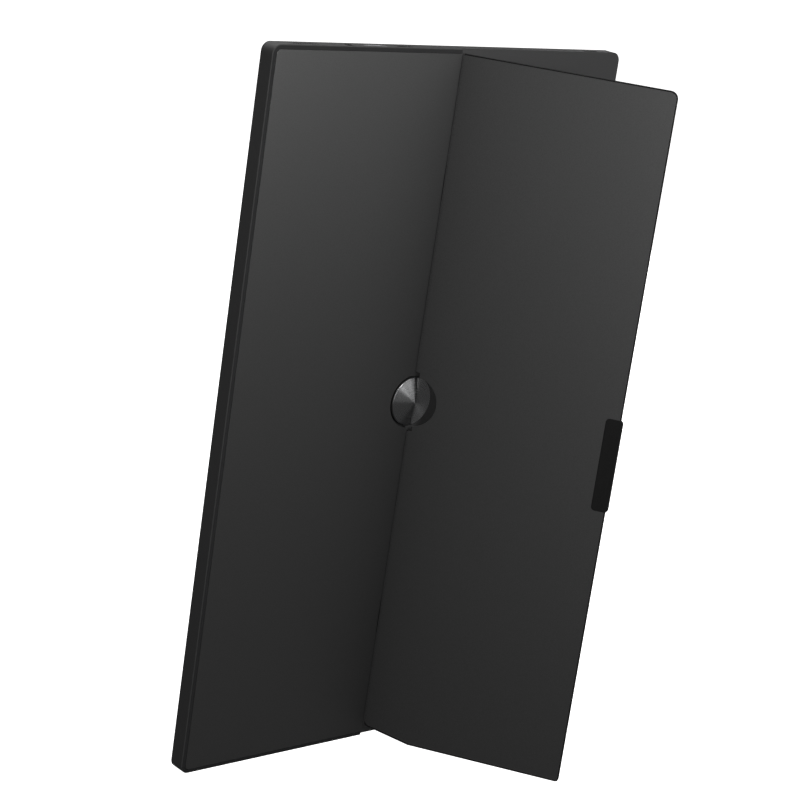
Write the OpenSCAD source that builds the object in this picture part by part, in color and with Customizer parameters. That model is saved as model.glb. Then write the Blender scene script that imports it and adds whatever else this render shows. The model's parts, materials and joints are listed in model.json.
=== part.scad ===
// Slim portable monitor that stands on a hinged half-width back flap.
// It stands on a short edge: X runs from the chin edge (-) to the fixed-panel edge (+),
// Y from the screen (-) to the back (+), Z up along the long side. Millimetres.
// Depths named "at" or "t" are measured from the front face towards the back.

/* [Screen] */
// Short side of the visible screen
screen_w = 193.6; // [186:0.2:200]
// Long side of the visible screen
screen_h = 344.2; // [330:0.2:356]
// Border between the screen and the fixed-panel edge
top_border = 8.5; // [8:0.5:12]
// Border between the screen and the chin edge, over the panel's own board
chin = 23.9; // [22:0.1:30]
// Border between the screen and each short edge
side_border = 7.9; // [7:0.1:12]
// Thickness of the front bezel
bezel_t = 0.8; // [0.6:0.1:1]

/* [Body] */
// Radius of the body's four corners
corner_r = 4.5; // [3.5:0.5:7]
// Side wall of the rear housing
wall = 1.8; // [1.6:0.1:2.4]
// Floor of the rear housing, behind the thin half
floor_t = 0.8; // [0.6:0.1:1]
// Chamfer around the back edge of the housing
back_chamfer = 0.35; // [0.1:0.05:0.5]
// Housing left between the headphone jack's bore and the slab's back
port_cover = 0.5; // [0.4:0.05:1.5]

/* [Fixed panel] */
// How far the fixed panel and the closed flap rise above the slab
panel_rise = 1.9; // [1.8:0.1:2.4]
// Width of the sloping rim around the fixed panel
panel_slope = 1.7; // [1.2:0.1:2.2]
// Thickness of the fixed panel's skin, with the plate let into it
panel_skin = 0.8; // [0.7:0.1:1]
// Thickness of the metal plate let into the fixed panel
panel_plate_t = 0.35; // [0.2:0.05:0.4]
// Distance from the fixed-panel edge to the hinge line
hinge_from_edge = 115.5; // [112:0.5:117]
// Visible gap between the fixed panel and the flap
hinge_gap = 0.7; // [0.4:0.1:1.2]

/* [Flap] */
// Strip of the thin half that stays bare past the flap's free edge
flap_side_gap = 5; // [3:0.5:12]
// Opening of the flap in the rest pose, from closed
open_angle = 56; // [0:1:90]
// Gap under the flap's lower end
flap_low_gap = 0.8; // [0.4:0.1:3]
// Gap above the flap's upper end
flap_high_gap = 2; // [0.5:0.1:4]
// Thickness of the flap's metal skin
flap_skin_t = 0.6; // [0.4:0.1:0.8]
// Clearance between the closed flap and the slab
flap_clear = 0.2; // [0.1:0.05:0.4]
// Width of the dark rim around the flap's skin
flap_rim = 0.6; // [0.4:0.1:1]
// Length of the sloping cut at the lower hinge corner, along X
corner_cut_w = 25; // [10:1:30]
// Height of the sloping cut at the lower hinge corner
corner_cut_h = 5.2; // [1:0.2:8]
// Radius of the free corner at the upper end
free_corner_r = 3.9; // [2:0.1:6]
// Length of the rubber grip on the free edge
grip_h = 47.8; // [30:0.5:60]
// Width of the rubber grip
grip_w = 8.6; // [6:0.2:12]
// Height of the grip's middle above the resting edge
grip_z = 171.4; // [120:0.5:220]
// How far the grip stands past the free edge
grip_proud = 1.2; // [0.4:0.1:2]

/* [Hub] */
// Radius of the round hub's seat on the hinge line
hub_r = 12.8; // [11:0.1:16]
// Height of the hub's tip above the fixed panel
hub_rise = 3; // [2:0.1:5]
// Height of the hub's axis above the resting edge
hub_z = 182.8; // [160:0.1:200]
// Free ring between the hub and the flap
hub_clear = 0.4; // [0.3:0.1:1]
// Free ring between the hub and the fixed panel
hub_ring = 0.85; // [0.3:0.05:1.5]

/* [Hinges] */
// Distance of each hinge from the nearer short edge
hinge_from_end = 66; // [50:1:90]
// Inner radius of the curved leaf, about the hinge line
leaf_r = 3.8; // [3.7:0.05:4]
// Thickness of the curved leaf
leaf_t = 0.9; // [0.7:0.05:1]
// Width of the curved leaf along the hinge line
leaf_w = 12; // [8:0.5:16]
// Running clearance on each side of the leaf
leaf_clear = 0.1; // [0.05:0.01:0.12]
// Thickness of the bronze friction strip
strip_t = 0.2; // [0.15:0.01:0.25]
// Reach of the leaf's fixing plate into the flap
leaf_plate_w = 18; // [14:0.5:24]
// Largest opening of the flap, from closed
open_limit = 95; // [70:1:100]

/* [Ports and key] */
// Radius of the headphone jack's bore
jack_bore_r = 1.8; // [1.75:0.01:1.85]
// Depth of the headphone jack
jack_deep = 12; // [11:0.5:15]
// Distance of the headphone jack from the fixed-panel edge
jack_from_edge = 46.8; // [44:0.2:50]
// Distance of the mini video socket from the fixed-panel edge
video_from_edge = 63; // [60:0.2:66]
// Distance of the USB-C socket from the fixed-panel edge
usb_from_edge = 80.6; // [79:0.2:86]
// Distance of the power key from the chin edge
key_from_chin = 20.3; // [18:0.1:26]
// Length of the power key
key_l = 9.8; // [8:0.2:12]
// Width of the power key
key_w = 2.2; // [1.8:0.1:2.6]
// Travel of the power key
key_travel = 0.3; // [0.2:0.05:0.4]
// Distance of the speaker grilles from the fixed-panel edge
grille_from_edge = 20.6; // [18:0.2:24]
// Length of a speaker grille
grille_l = 15; // [12:0.5:18]
// Width of a speaker box
speaker_w = 25; // [20:0.5:28]
// Length of a speaker box
speaker_l = 40; // [30:1:60]
// Length of the main board
board_l = 88; // [80:1:110]

/* [Hidden] */

// Colours
housing_grey = [0.16, 0.165, 0.17];
panel_grey = [0.25, 0.255, 0.26];
rubber_black = [0.08, 0.08, 0.08];
screen_black = [0.03, 0.03, 0.035];
steel = [0.62, 0.63, 0.65];
bronze = [0.7, 0.52, 0.3];
board_green = [0.08, 0.3, 0.16];
spun_metal = [0.32, 0.33, 0.34];

// Overall lines
body_w = screen_w + top_border + chin;
body_h = screen_h + 2 * side_border;
edge_x = body_w / 2;
hinge_x = edge_x - hinge_from_edge;
mid_z = body_h / 2;
hinge_zs = [body_h - hinge_from_end, hinge_from_end];
seat = 0.05;

// Screen stack, from front to back
screen_x = edge_x - top_border - screen_w / 2;
cell_margin = 3;
guide_margin = 1.5;
cell_at = bezel_t + 0.15;
cell_t = 0.8;
film_at = cell_at + cell_t + seat;
film_t = 0.3;
guide_at = film_at + film_t + seat;
guide_t = 0.5;
reflector_at = guide_at + guide_t + seat;
reflector_t = 0.1;
tray_at = reflector_at + reflector_t + seat;
tray_t = 0.25;
tray_back = tray_at + tray_t;
tray_gap = 0.2;
led_w = 1;
led_room = 2.2;
cell_x0 = screen_x - screen_w / 2 - cell_margin;
cell_x1 = screen_x + screen_w / 2 + cell_margin;
guide_x0 = screen_x - screen_w / 2 - guide_margin;
guide_x1 = screen_x + screen_w / 2 + guide_margin;
guide_z = side_border - guide_margin;
tray_x0 = guide_x0 - led_room - tray_t;
tray_x1 = guide_x1 + tray_gap + tray_t;
tray_z = guide_z - tray_gap - tray_t;
driver_x1 = tray_x0 - 1;
driver_w = 9;
driver_t = 0.6;
driver_end = 50;
driver_at = film_at + 0.15;
flex_count = 4;
flex_w = 24;
flex_pitch = (screen_h - 4 * flex_w) / flex_count;

// Sockets, whose height sets the slab's thickness
jack_wall = 0.25;
port_at = tray_back + seat + jack_wall + jack_bore_r;
usb_l = 8.94;
usb_h = 3.16;
video_l = 11.2;
socket_deep = 7.5;
slab_t = port_at + jack_bore_r + port_cover;
back_t = slab_t + panel_rise;
inner_r = corner_r - wall;
pocket_x = edge_x - wall;
pocket_z = wall;
floor_at = slab_t - floor_t;
rib_h = 0.6;
rib_w = 1;
rib_pitch = 33;
boss_hole_end = floor_at - 0.5;
panel_inner_at = back_t - panel_skin;

// Chassis plate and what it carries
chassis_at = tray_back + 0.2;
chassis_t = 0.6;
chassis_back = chassis_at + chassis_t;
chassis_gap = 0.3;
beam_t = 0.8;
beam_w = 24;
beam_at = chassis_back + seat;
beam_back = beam_at + beam_t;
screw_r = 1;
screw_hole_r = 1.15;
head_r = 1.7;
head_t = 0.35;
boss_r = 3;
boss_in = wall + boss_r - 0.6;
end_boss_in = 24;

// Speakers and main board; the board stands on posts, with the sockets on its front side
speaker_x1 = edge_x - wall - 1.8;
speaker_x0 = speaker_x1 - speaker_w;
speaker_cone_r = 8.5;
board_gap = 6;
board_at = port_at + usb_h / 2 + 0.07;
board_t = 0.8;
board_x0 = edge_x - usb_from_edge - usb_l / 2 - 9.5;
board_x1 = speaker_x0 - board_gap;
board_z1 = body_h - wall - 0.5;
board_z0 = board_z1 - board_l;
board_screw_in = 4;
shield_x = 24;
shield_z = 30;
shield_w = 22;
cable_t = 0.15;
cable_w = 10;
cable_z = board_z1 - 32;
key_cable_at = floor_at - rib_h - cable_t - 0.1;
key_cable_z = body_h - wall - 15;
key_x = -edge_x + key_from_chin;

// Ring hinge: every arc is drawn about the hinge line, at the level of the panel's back
leaf_out = leaf_r + leaf_t;
strip_r = leaf_out + leaf_clear;
channel_in = leaf_r - leaf_clear;
channel_out = strip_r + strip_t + 0.02;
mouth_angle = 180 + asin(panel_rise / channel_out);
leaf_from = 194;
tail_angle = 342;
ear_angle = 10;
channel_end = tail_angle + 3;
narrow_end = tail_angle - open_limit - ear_angle - 1;
ear_out = 1;
channel_w = leaf_w + 2 * leaf_clear + 0.2;
block_w = leaf_w + 2 * ear_out + 4;
block_low_x = channel_out + 1.9;
block_high_x = channel_out + 1.3;
block_at = back_t - channel_out - 0.35;
flange_h = 6.5;
plate_t = 0.6;

// Flap
flap_under = slab_t + flap_clear;
flap_skin_at = back_t - flap_skin_t;
flap_floor_t = flap_skin_at - seat - flap_under;
free_x = -edge_x + flap_side_gap;
leaf_plate_at = flap_under + seat;
leaf_plate_x = hinge_x - leaf_r + 0.5;
leaf_screw_end = leaf_plate_at + plate_t + 0.3;
hub_notch_w = 2;
hub_notch_h = 2.4;

// Depth t behind the front face as a Y position
function depth(t) = t - slab_t / 2;

// Points of an arc, for outlines
function arc(x, z, r, from, to, n = 10) =
    [for (i = [0:n]) let (a = from + (to - from) * i / n) [x + r * cos(a), z + r * sin(a)]];

// ---------- shared shapes ----------

// A flat piece between two depths, from an outline drawn in X and Z
module plate(t0, t1) {
    translate([0, depth(t1), 0]) rotate([90, 0, 0]) linear_extrude(t1 - t0) children();
}

// A round post through the thickness
module post(x, z, r, t0, t1) {
    translate([x, depth(t0), z]) rotate([-90, 0, 0]) cylinder(r = r, h = t1 - t0, $fn = 40);
}

// A rounded rectangle, from corner to corner
module round_rect(x0, x1, z0, z1, r) {
    translate([x0 + r, z0]) square([x1 - x0 - 2 * r, z1 - z0]);
    translate([x0, z0 + r]) square([x1 - x0, z1 - z0 - 2 * r]);
    for (x = [x0 + r, x1 - r]) for (z = [z0 + r, z1 - r]) translate([x, z]) circle(r, $fn = 48);
}

// A slab whose rim follows a profile of [inset, depth] pairs, with the chosen corners rounded
module rimmed_slab(x0, x1, z0, z1, r, rim, round_low_x = true) {
    n = len(rim) - 1;
    low_in = round_low_x ? r : 0;
    along_x = concat([for (p = rim) [depth(p[1]), z0 + p[0]]],
        [for (i = [n:-1:0]) [depth(rim[i][1]), z1 - rim[i][0]]]);
    translate([x0 + low_in, 0, 0]) rotate([90, 0, 90]) linear_extrude(x1 - r - x0 - low_in)
        polygon(along_x);
    along_z = concat([for (p = rim) [x0 + (round_low_x ? p[0] : low_in), depth(p[1])]],
        [for (i = [n:-1:0]) [x1 - rim[i][0], depth(rim[i][1])]]);
    translate([0, 0, z0 + r]) linear_extrude(z1 - z0 - 2 * r) polygon(along_z);
    coin = concat([[0, depth(rim[0][1])]], [for (p = rim) [r - p[0], depth(p[1])]],
        [[0, depth(rim[n][1])]]);
    for (x = round_low_x ? [x0 + r, x1 - r] : [x1 - r]) for (z = [z0 + r, z1 - r])
        translate([x, 0, z]) rotate([-90, 0, 0]) rotate_extrude($fn = 64)
            polygon(coin);
}

// A ring sector about the hinge line, centred on height z; r0 = 0 gives a full pie slice
module hinge_sector(r0, r1, from, to, h, z) {
    steps = ceil((to - from) / 60);
    far = 2 * r1;
    translate([hinge_x, depth(back_t), z - h / 2]) linear_extrude(h) intersection() {
        difference() {
            circle(r1, $fn = 96);
            if (r0 > 0) circle(r0, $fn = 96);
        }
        polygon(concat([[0, 0]], arc(0, 0, far, from, to, steps)));
    }
}

// Turns a closed flap piece to the rest pose
module at_rest_pose() {
    translate([hinge_x, depth(back_t), 0]) rotate([0, 0, -open_angle])
        translate([-hinge_x, -depth(back_t), 0]) children();
}

// A pan-head screw along Y: head towards the back, from its seat
module back_screw(x, z, seat_at, reach) {
    post(x, z, head_r, seat_at, seat_at + head_t);
    post(x, z, screw_r, seat_at - reach, seat_at + seat);
}

// A screw with its head towards the front
module front_screw(x, z, seat_at, reach) {
    post(x, z, head_r, seat_at - head_t, seat_at);
    post(x, z, screw_r, seat_at - seat, seat_at + reach);
}

// ---------- screen ----------

module front_bezel() {
    color(housing_grey) difference() {
        rimmed_slab(-edge_x, edge_x, 0, body_h, corner_r,
            [[0.3, 0], [0, 0.3], [0, bezel_t]]);
        plate(-1, bezel_t + 1) round_rect(screen_x - screen_w / 2, screen_x + screen_w / 2,
            mid_z - screen_h / 2, mid_z + screen_h / 2, 0.6);
    }
}

module lcd_cell() {
    color(screen_black) plate(cell_at, cell_at + cell_t) translate([cell_x0, mid_z - screen_h / 2
        - cell_margin]) square([cell_x1 - cell_x0, screen_h + 2 * cell_margin]);
}

// A sheet of the backlight stack
module stack_sheet(t0, t) {
    plate(t0, t0 + t) translate([guide_x0, guide_z])
        square([guide_x1 - guide_x0, body_h - 2 * guide_z]);
}

module film_stack() {
    color("white") stack_sheet(film_at, film_t);
}

module light_guide() {
    color("lightcyan") stack_sheet(guide_at, guide_t);
}

module reflector_sheet() {
    color("gainsboro") stack_sheet(reflector_at, reflector_t);
}

// LED packages on a flexible strip, along the chin edge of the light guide
module led_bar() {
    led_count = 24;
    led_h = 3;
    strip_x0 = guide_x0 - led_room + 0.2;
    pitch = (body_h - 2 * guide_z - 12) / (led_count - 1);
    color("khaki") {
        plate(guide_at + guide_t, guide_at + guide_t + 0.15)
            translate([strip_x0, guide_z + 2]) square([led_room - 0.3, body_h - 2 * guide_z - 4]);
        for (i = [0:led_count - 1]) plate(guide_at, guide_at + guide_t + 0.1)
            translate([guide_x0 - led_w - 0.15, guide_z + 6 + i * pitch - led_h / 2])
                square([led_w, led_h]);
    }
}

// Folded tray that holds the backlight, with its rim turned to the front
module panel_tray() {
    slot_w = 15;
    slot_pitch = 44;
    rim_at = film_at + 0.15;
    color(steel) difference() {
        plate(rim_at, tray_back) round_rect(tray_x0, tray_x1, tray_z, body_h - tray_z, 1);
        plate(rim_at - 1, tray_at) round_rect(tray_x0 + tray_t, tray_x1 - tray_t,
            tray_z + tray_t, body_h - tray_z - tray_t, 0.75);
        for (k = [-1.5:1:1.5]) plate(tray_at - 1, tray_back + 1)
            translate([screen_x + k * slot_pitch, mid_z]) round_rect(-slot_w / 2, slot_w / 2,
                -slot_w / 2, slot_w / 2, 3);
    }
}

// Long narrow drive board beside the screen, in the chin
module driver_board() {
    chip_l = 18;
    color(board_green) {
        plate(driver_at, driver_at + driver_t) round_rect(driver_x1 - driver_w, driver_x1,
            driver_end, body_h - driver_end, 1);
        for (k = [-1:1]) plate(driver_at + driver_t, driver_at + driver_t + 0.5)
            translate([driver_x1 - driver_w + 2, mid_z + k * flex_pitch - chip_l / 2])
                square([4, chip_l]);
    }
}

module driver_flexes() {
    flex_at = film_at - 0.03;
    x0 = driver_x1 - 4;
    color("orange") for (k = [-1.5:1:1.5]) plate(flex_at, flex_at + 0.1)
        translate([x0, mid_z + k * flex_pitch - flex_w / 2])
            square([guide_x0 - 0.15 - x0, flex_w]);
}

// ---------- chassis and housing ----------

// Screw places: around the chassis, on the main board and in the hinge blocks' flanges
chassis_points = concat(
    [for (z = [end_boss_in, 0.27 * body_h, mid_z, 0.74 * body_h, body_h - end_boss_in])
        [-edge_x + boss_in, z]],
    [for (z = [1.5 * speaker_l, mid_z, body_h - 1.5 * speaker_l]) [edge_x - boss_in, z]]);
board_points = [for (x = [board_x0 + board_screw_in, board_x1 - board_screw_in])
    for (z = [board_z0 + board_screw_in, board_z1 - board_screw_in - 16]) [x, z]];
hinge_points = [for (z = hinge_zs) for (s = [-1, 1])
    [hinge_x, z + s * (block_w + flange_h) / 2]];

// A row of equal windows with rounded corners, between two heights
module window_row(x0, x1, z0, z1, count, bar) {
    pitch = (z1 - z0 + bar) / count;
    for (k = [0:count - 1]) plate(chassis_at - 1, chassis_back + 1)
        round_rect(x0, x1, z0 + k * pitch, z0 + (k + 1) * pitch - bar, 4);
}

module chassis_plate() {
    edge = wall + chassis_gap;
    rail = 22;
    fold_x = driver_x1 - driver_w + 1;
    color(steel) difference() {
        union() {
            plate(chassis_at, chassis_back) round_rect(-edge_x + edge, edge_x - edge, edge,
                body_h - edge, max(inner_r - chassis_gap, 0.5));
            for (p = board_points) post(p[0], p[1], 2.2, chassis_back - 0.01, board_at);
        }
        for (p = chassis_points) {
            post(p[0], p[1], screw_hole_r, chassis_at - 1, chassis_back + 1);
            post(p[0], p[1], head_r + 0.15, chassis_at - 1, chassis_at + head_t);
        }
        for (p = board_points) post(p[0], p[1], screw_r, chassis_at - 1, board_at + 1);
        for (p = hinge_points) post(p[0], p[1], head_r + 0.3, chassis_at - 1, chassis_back + 1);
        for (z = hinge_zs) block_window(z, chassis_at - 1, chassis_back + 1);
        post(hinge_x, hub_z, hub_screw_head_r + 0.3, chassis_at - 1, chassis_back + 1);
        // windows that save weight, between the ribs
        window_row(-edge_x + rail, hinge_x - rail, rail, body_h - 2.2 * rail, 5, 10);
        window_row(hinge_x + rail, edge_x - rail, 2 * rail, board_z0 - rail / 2, 4, 8);
        // clear space behind the sockets, the key and the cable's fold
        plate(chassis_at - 1, chassis_back + 1)
            translate([board_x0 - 1, body_h - wall - jack_deep - 1])
                square([board_x1 - board_x0 + 2, 2 * jack_deep]);
        plate(chassis_at - 1, chassis_back + 1)
            translate([key_x - key_l / 2 - 3, body_h - wall - 16]) square([key_l + 6, 30]);
        plate(chassis_at - 1, chassis_back + 1) round_rect(fold_x - 1, fold_x + 6,
            cable_z - cable_w / 2 - 2, cable_z + cable_w / 2 + 2, 1);
    }
}

module port_cut(x, l, w) {
    translate([x - l / 2 + w / 2, depth(port_at), body_h - wall - 1])
        cylinder(r = w / 2, h = wall + 2, $fn = 40);
    translate([x + l / 2 - w / 2, depth(port_at), body_h - wall - 1])
        cylinder(r = w / 2, h = wall + 2, $fn = 40);
    translate([x - l / 2 + w / 2, depth(port_at) - w / 2, body_h - wall - 1])
        cube([l - w, w, wall + 2]);
}

key_clear = 0.15;
grille_t = 1;
grille_w = 3.8;
module rear_housing() {
    spine_x = hinge_x + block_high_x + 1.2;
    color(housing_grey) difference() {
        union() {
            difference() {
                rimmed_slab(-edge_x, edge_x, 0, body_h, corner_r, [[0, bezel_t + seat],
                    [0, slab_t - back_chamfer], [back_chamfer, slab_t]]);
                // the pocket for screen and chassis, closed behind the thin half only
                plate(-1, floor_at) round_rect(-pocket_x, pocket_x, pocket_z, body_h - pocket_z,
                    inner_r);
                plate(-1, slab_t + 1) difference() {
                    round_rect(spine_x, pocket_x, pocket_z, body_h - pocket_z, inner_r);
                    translate([hinge_x, hub_z]) circle(hub_r + 2, $fn = 64);
                }
            }
            for (p = chassis_points) post(p[0], p[1], boss_r, chassis_back + seat,
                p[0] < 0 ? floor_at + 0.01 : slab_t - 0.4);
            // ribs under the floor of the thin half
            for (k = [-2:2]) plate(floor_at - rib_h, floor_at + 0.01)
                translate([-pocket_x - 0.01, mid_z + k * body_h / 6 - rib_w / 2])
                    square([hinge_x - 16 + pocket_x, rib_w]);
            for (k = [1, 2]) plate(floor_at - rib_h, floor_at + 0.01)
                translate([-edge_x + k * rib_pitch, pocket_z - 0.01])
                    square([rib_w, body_h - 2 * pocket_z + 0.02]);
        }
        for (p = chassis_points) post(p[0], p[1], screw_r, chassis_back - 1, boss_hole_end);
        for (z = hinge_zs) plate(floor_at - 2, slab_t + 1)
            translate([hinge_x - block_low_x - 0.1, z - block_w / 2 - 0.1])
                square([block_low_x + 20, block_w + 0.2]);
        post(hinge_x, hub_z, hub_stem_r + 0.2, floor_at - 1, slab_t + 1);
        // sockets, key and speaker grilles, through the short walls
        translate([edge_x - jack_from_edge, depth(port_at), body_h - wall - 1])
            cylinder(r = jack_bore_r + 0.2, h = wall + 2, $fn = 48);
        port_cut(edge_x - video_from_edge, video_l + 3, usb_h + 0.4);
        port_cut(edge_x - usb_from_edge, usb_l + 2, usb_h + 0.4);
        port_cut(key_x, key_l + 2 * key_clear, key_w + 2 * key_clear);
        for (z = [body_h, 0]) translate([edge_x - grille_from_edge, depth(port_at), z])
            cube([grille_l + 0.1, grille_w + 0.1, 2 * wall + 2], center = true);
    }
}

// Hooks of the fixed panel, behind the housing's long wall and its lower short wall
hook_l = 7;
hook_zs = [for (k = [-3:3]) if (k != 0) mid_z + k * body_h / 12];
hook_xs = [for (k = [0:2]) edge_x - speaker_w - 20 - k * 28];

// Raised cover of the thick half, with a sloping rim and a vertical edge at the hinge line
panel_r = corner_r - back_chamfer;
module fixed_panel() {
    x0 = hinge_x + hinge_gap;
    foot = back_chamfer;
    foot_in = 0.1;
    foot_rise = 0.3;
    lip = 1;
    hook_in = wall + 0.1;
    color(panel_grey) {
        for (z = hook_zs) plate(slab_t - 1.4, panel_inner_at + 0.1)
            translate([edge_x - hook_in - 0.9, z - hook_l / 2]) square([0.9, hook_l]);
        for (x = hook_xs) plate(slab_t - 1.4, panel_inner_at + 0.1)
            translate([x - hook_l / 2, hook_in]) square([hook_l, 0.9]);
    }
    color(panel_grey) difference() {
        rimmed_slab(x0, edge_x - foot, foot, body_h - foot, panel_r, [[0, slab_t],
            [foot_in, slab_t + foot_rise], [panel_slope - foot, back_t]], false);
        rimmed_slab(x0 + lip, edge_x - foot - lip, foot + lip, body_h - foot - lip,
            panel_r - lip, [[0, slab_t - 1], [foot_in, slab_t + foot_rise - 0.2],
            [panel_slope - foot, panel_inner_at]], false);
        let_in_slab(plate_edge, back_t - panel_plate_t - seat, [[0, back_t + 1]]);
        hub_hole();
    }
}

// Metal plate in the shallow seat of the fixed panel, level with the top of its sloping rim
plate_edge = panel_slope + 0.1;
module panel_plate() {
    fit = 0.05;
    break_edge = 0.1;
    color(panel_grey) difference() {
        let_in_slab(plate_edge + fit, back_t - panel_plate_t, [[0, back_t - break_edge],
            [break_edge, back_t]]);
        hub_hole();
    }
}

// A slab that ends at the hinge line, held in from the body's other three edges
module let_in_slab(edge, t0, rim) {
    rimmed_slab(hinge_x + hinge_gap, edge_x - edge, edge, body_h - edge, corner_r - edge,
        concat([[0, t0]], rim), false);
}

// Round hole of the hub through the fixed panel
module hub_hole() {
    plate(slab_t - 1, back_t + 2) translate([hinge_x, hub_z]) circle(hub_r + hub_ring, $fn = 96);
}

// Window through which a hinge block reaches towards the front
module block_window(z, t0, t1) {
    plate(t0, t1) translate([hinge_x - block_low_x - 0.2, z - block_w / 2 - 0.2])
        square([block_low_x + block_high_x + 0.4, block_w + 0.4]);
}

module hinge_beam() {
    z_end = hinge_from_end - block_w / 2 - flange_h - 8;
    color(steel) difference() {
        plate(beam_at, beam_back) round_rect(hinge_x - beam_w / 2, hinge_x + beam_w / 2, z_end,
            body_h - z_end, 3);
        for (z = hinge_zs) block_window(z, beam_at - 1, beam_back + 1);
        for (p = hinge_points) post(p[0], p[1], screw_hole_r, beam_at - 1, beam_back + 1);
        post(hinge_x, hub_z, screw_hole_r + 0.3, beam_at - 1, beam_back + 1);
        for (k = [1:3]) for (s = [-1, 1]) plate(beam_at - 1, beam_back + 1)
            round_rect(hinge_x - 4, hinge_x + 4, mid_z + s * (k * 24 + 6) - 7,
                mid_z + s * (k * 24 + 6) + 7, 3);
    }
}

// ---------- hinges ----------

// Fixed block with a curved channel, centred on the hinge line, so no barrel shows
module hinge_block(z) {
    top_x = hinge_gap + 1 + 0.15;
    color(steel) difference() {
        union() {
            translate([hinge_x - block_low_x, depth(block_at), z - block_w / 2])
                cube([block_low_x + block_high_x, slab_t - block_at, block_w]);
            translate([hinge_x + top_x, depth(block_at), z - block_w / 2])
                cube([block_high_x - top_x, panel_inner_at - 0.1 - block_at, block_w]);
            plate(beam_back + seat, beam_back + seat + 1) round_rect(hinge_x - 5, hinge_x + 5,
                z - block_w / 2 - flange_h, z + block_w / 2 + flange_h, 2);
        }
        // channel of the leaf, wider for its tail, with the seat of the core inside
        hinge_sector(0, channel_out, mouth_angle - 12, channel_end, channel_w, z);
        hinge_sector(channel_in, channel_out + 0.03, narrow_end, channel_end + 1,
            channel_w + 2 * ear_out, z);
        translate([hinge_x, depth(back_t), z - channel_w / 2])
            cylinder(r = channel_in - 0.03, h = channel_w, $fn = 96);
        translate([hinge_x - 1.6, depth(slab_t - 0.9), z - leaf_w / 2 - 1.5])
            cube([3.2, 2, leaf_w + 3]);
        for (p = hinge_points) post(p[0], p[1], screw_r, beam_at - 1, beam_back + 3);
    }
}

// Round inner guide of the channel, held by two lugs in the block
module hinge_core(z) {
    trim = 0.03;
    color(steel) intersection() {
        union() {
            translate([hinge_x, depth(back_t), z - leaf_w / 2 - 0.1])
                cylinder(r = channel_in - 2 * trim, h = leaf_w + 0.2, $fn = 96);
            translate([hinge_x - 1.6 + trim, depth(slab_t - 0.9) + trim, z - leaf_w / 2 - 1.4])
                cube([3.2 - 2 * trim, 0.9 - 2 * trim, leaf_w + 2.8]);
        }
        translate([hinge_x - 10, depth(0), z - leaf_w]) cube([20, slab_t, 2 * leaf_w]);
    }
}

// Bronze strip that grips the leaf's outer face
module friction_strip(z) {
    color(bronze) hinge_sector(strip_r, strip_r + strip_t, mouth_angle + 6, channel_end - 6,
        leaf_w - 1, z);
}

// Curved leaf with its plate in the flap; the wide tail stops in the channel when fully open
module hinge_leaf(z) {
    color(steel) at_rest_pose() difference() {
        union() {
            hinge_sector(leaf_r, leaf_out, leaf_from, tail_angle, leaf_w, z);
            for (s = [-1, 1]) hinge_sector(leaf_r, leaf_out, tail_angle - ear_angle, tail_angle,
                ear_out, z + s * (leaf_w + ear_out) / 2);
            plate(leaf_plate_at, leaf_plate_at + plate_t) round_rect(
                leaf_plate_x - leaf_plate_w, leaf_plate_x, z - block_w / 2, z + block_w / 2, 1.5);
        }
        for (p = leaf_points(z)) post(p[0], p[1], 0.8, leaf_plate_at - 1, back_t);
    }
}
function leaf_points(z) = [for (s = [-1, 1]) for (x = [10.5, 17])
    [hinge_x - x, z + s * (block_w / 2 - 3.5)]];

module upper_hinge_block() { hinge_block(hinge_zs[0]); }
module lower_hinge_block() { hinge_block(hinge_zs[1]); }
module upper_hinge_core() { hinge_core(hinge_zs[0]); }
module lower_hinge_core() { hinge_core(hinge_zs[1]); }
module upper_friction_strip() { friction_strip(hinge_zs[0]); }
module lower_friction_strip() { friction_strip(hinge_zs[1]); }
module upper_hinge_leaf() { hinge_leaf(hinge_zs[0]); }
module lower_hinge_leaf() { hinge_leaf(hinge_zs[1]); }

// ---------- hub ----------

hub_stem_r = 2.8;
hub_screw_head_r = head_r + 0.6;
hub_cap_r = hub_r - 0.4;
hub_cap_at = back_t - 0.5;
module hub_seat() {
    color(rubber_black) translate([hinge_x, 0, hub_z]) rotate([-90, 0, 0])
        rotate_extrude($fn = 96) polygon([[hub_stem_r + 0.15, depth(slab_t)],
            [hub_r - 0.4, depth(slab_t)], [hub_r, depth(slab_t + 0.4)], [hub_r, depth(back_t - 0.1)],
            [hub_r - 0.1, depth(back_t)], [hub_cap_r + 0.15, depth(back_t)],
            [hub_cap_r + 0.15, depth(hub_cap_at - 0.05)],
            [hub_stem_r + 0.15, depth(hub_cap_at - 0.05)]]);
}

// Low spun cone with a turned-down skirt and a threaded stem
module hub_cap() {
    skin = 0.8;
    tip = back_t + hub_rise;
    shoulder = hub_cap_r - 1.2;
    color(spun_metal) difference() {
        translate([hinge_x, 0, hub_z]) rotate([-90, 0, 0]) rotate_extrude($fn = 96)
            polygon([[0, depth(beam_back + 0.05)], [hub_stem_r, depth(beam_back + 0.05)],
                [hub_stem_r, depth(tip - 1.6)], [3.6, depth(tip - 1.3)],
                [shoulder - skin, depth(back_t + 0.25)], [hub_cap_r - skin, depth(back_t - 0.1)],
                [hub_cap_r - skin, depth(hub_cap_at)], [hub_cap_r, depth(hub_cap_at)],
                [hub_cap_r, depth(back_t + 0.15)], [hub_cap_r - 0.35, depth(back_t + 0.62)],
                [shoulder, depth(back_t + 1)], [1.5, depth(tip - 0.1)], [0, depth(tip)]]);
        post(hinge_x, hub_z, screw_r + 0.2, beam_back - 1, back_t - 0.6);
    }
}

module hub_screw() {
    color(steel) {
        post(hinge_x, hub_z, hub_screw_head_r, beam_at - seat - head_t, beam_at - seat);
        post(hinge_x, hub_z, screw_r + 0.15, beam_at - 2 * seat, back_t - 1);
    }
}

// ---------- electronics ----------

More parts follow.
